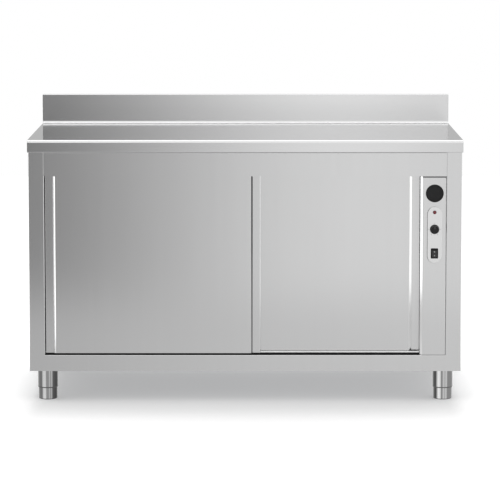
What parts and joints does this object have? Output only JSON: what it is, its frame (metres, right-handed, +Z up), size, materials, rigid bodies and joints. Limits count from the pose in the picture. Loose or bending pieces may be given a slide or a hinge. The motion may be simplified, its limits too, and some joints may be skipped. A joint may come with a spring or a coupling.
{
  "type": "plate warmer cabinet",
  "caption": "Steel plate warmer cabinet with an upstand, two sliding doors over a heated chamber with a shelf, a control column at the right and adjustable feet.",
  "frame": {"origin": "middle of the bounding box at floor level", "axes": "+Z up, the doors and controls face -Y, +X to the right when facing the cabinet"},
  "size_m": [1.4, 0.716, 0.95],
  "materials": {
    "brushed_steel": "vertical fine brush on the body, lengthways on the worktop",
    "satin_steel": "satin",
    "bright_plate": "satin anodised",
    "galvanised_steel": "dull zinc coat",
    "core_board": "raw particle board",
    "mineral_wool": "fibrous",
    "nylon": "moulded",
    "black_plastic": "fine moulded grain",
    "grey_plastic": "moulded",
    "red_lens": "translucent lens",
    "zinc_casing": "pressed zinc",
    "copper": "drawn tube",
    "heater_sheath": "heat darkened sheath",
    "ceramic": "glazed",
    "polished_steel": "polished tube"
  },
  "bodies": {
    "cabinet": {"worktop": "brushed_steel", "worktop_core": "core_board", "worktop_stiffeners": "galvanised_steel", "left_side_panel": "brushed_steel", "right_side_panel": "brushed_steel", "top_rail": "brushed_steel", "bottom_rail": "brushed_steel", "back_panel": "brushed_steel", "base_pan": "galvanised_steel", "left_liner": "satin_steel", "partition": "satin_steel", "rear_liner": "satin_steel", "ceiling_liner": "satin_steel", "chamber_floor": "satin_steel", "insulation": "mineral_wool", "shelf": "satin_steel", "shelf_uprights": "satin_steel", "shelf_clips": "galvanised_steel", "top_track": "galvanised_steel", "bottom_guide": "nylon", "control_panel": "brushed_steel", "control_bezel": "bright_plate", "vent_grille": "black_plastic", "pilot_light": "red_lens", "thermostat_body": "zinc_casing", "thermostat_bulb": "copper", "switch_frame": "black_plastic", "fan_cover": "satin_steel", "fan_motor": "zinc_casing", "heating_element": "heater_sheath", "terminal_block": "ceramic", "cable_gland": "black_plastic", "leg_plates": "galvanised_steel", "sleeve_front_left": "polished_steel", "sleeve_front_right": "polished_steel", "sleeve_rear_left": "polished_steel", "sleeve_rear_right": "polished_steel"},
    "front_door": {"front_door_skin": "brushed_steel", "front_door_core": "mineral_wool", "front_door_liner": "satin_steel", "front_door_hangers": "galvanised_steel"},
    "rear_door": {"rear_door_skin": "brushed_steel", "rear_door_core": "mineral_wool", "rear_door_liner": "satin_steel", "rear_door_hangers": "galvanised_steel"},
    "front_roller_left": {"front_roller_left": "nylon"},
    "front_roller_right": {"front_roller_right": "nylon"},
    "rear_roller_left": {"rear_roller_left": "nylon"},
    "rear_roller_right": {"rear_roller_right": "nylon"},
    "thermostat_knob": {"thermostat_knob": "black_plastic"},
    "switch_rocker": {"switch_rocker": "grey_plastic"},
    "fan_impeller": {"fan_impeller": "satin_steel"},
    "foot_front_left": {"foot_front_left": "polished_steel"},
    "foot_front_right": {"foot_front_right": "polished_steel"},
    "foot_rear_left": {"foot_rear_left": "polished_steel"},
    "foot_rear_right": {"foot_rear_right": "polished_steel"}
  },
  "joints": [
    {"name": "front_door_slide", "type": "slide", "parent": "cabinet", "child": "front_door", "axis": [1, 0, 0], "range_m": [0, 0.5136]},
    {"name": "rear_door_slide", "type": "slide", "parent": "cabinet", "child": "rear_door", "axis": [-1, 0, 0], "range_m": [0, 0.5136]},
    {"name": "front_roller_left_spin", "type": "hinge", "parent": "front_door", "child": "front_roller_left", "pos_m": [-0.5346, -0.3265, 0.7853], "axis": [0, 1, 0], "continuous": true},
    {"name": "front_roller_right_spin", "type": "hinge", "parent": "front_door", "child": "front_roller_right", "pos_m": [-0.0608, -0.3265, 0.7853], "axis": [0, 1, 0], "continuous": true},
    {"name": "rear_roller_left_spin", "type": "hinge", "parent": "rear_door", "child": "rear_roller_left", "pos_m": [-0.0205, -0.3075, 0.7853], "axis": [0, 1, 0], "continuous": true},
    {"name": "rear_roller_right_spin", "type": "hinge", "parent": "rear_door", "child": "rear_roller_right", "pos_m": [0.4533, -0.3075, 0.7853], "axis": [0, 1, 0], "continuous": true},
    {"name": "knob_turn", "type": "hinge", "parent": "cabinet", "child": "thermostat_knob", "pos_m": [0.6095, -0.347, 0.562], "axis": [0, 1, 0], "range_deg": [0, 270]},
    {"name": "switch_rock", "type": "hinge", "parent": "cabinet", "child": "switch_rocker", "pos_m": [0.6095, -0.336, 0.484], "axis": [-1, 0, 0], "range_deg": [0, 14]},
    {"name": "fan_spin", "type": "hinge", "parent": "cabinet", "child": "fan_impeller", "pos_m": [0.548, 0.014, 0.297], "axis": [1, 0, 0], "continuous": true},
    {"name": "foot_front_left_screw", "type": "slide", "parent": "cabinet", "child": "foot_front_left", "axis": [0, 0, -1], "range_m": [0, 0.025]},
    {"name": "foot_front_right_screw", "type": "slide", "parent": "cabinet", "child": "foot_front_right", "axis": [0, 0, -1], "range_m": [0, 0.025]},
    {"name": "foot_rear_left_screw", "type": "slide", "parent": "cabinet", "child": "foot_rear_left", "axis": [0, 0, -1], "range_m": [0, 0.025]},
    {"name": "foot_rear_right_screw", "type": "slide", "parent": "cabinet", "child": "foot_rear_right", "axis": [0, 0, -1], "range_m": [0, 0.025]}
  ],
  "couplings": [
    {"joint": "front_roller_left_spin", "follows": "front_door_slide", "rad_per_m": 83.333},
    {"joint": "front_roller_right_spin", "follows": "front_door_slide", "rad_per_m": 83.333},
    {"joint": "rear_roller_left_spin", "follows": "rear_door_slide", "rad_per_m": -83.333},
    {"joint": "rear_roller_right_spin", "follows": "rear_door_slide", "rad_per_m": -83.333}
  ]
}
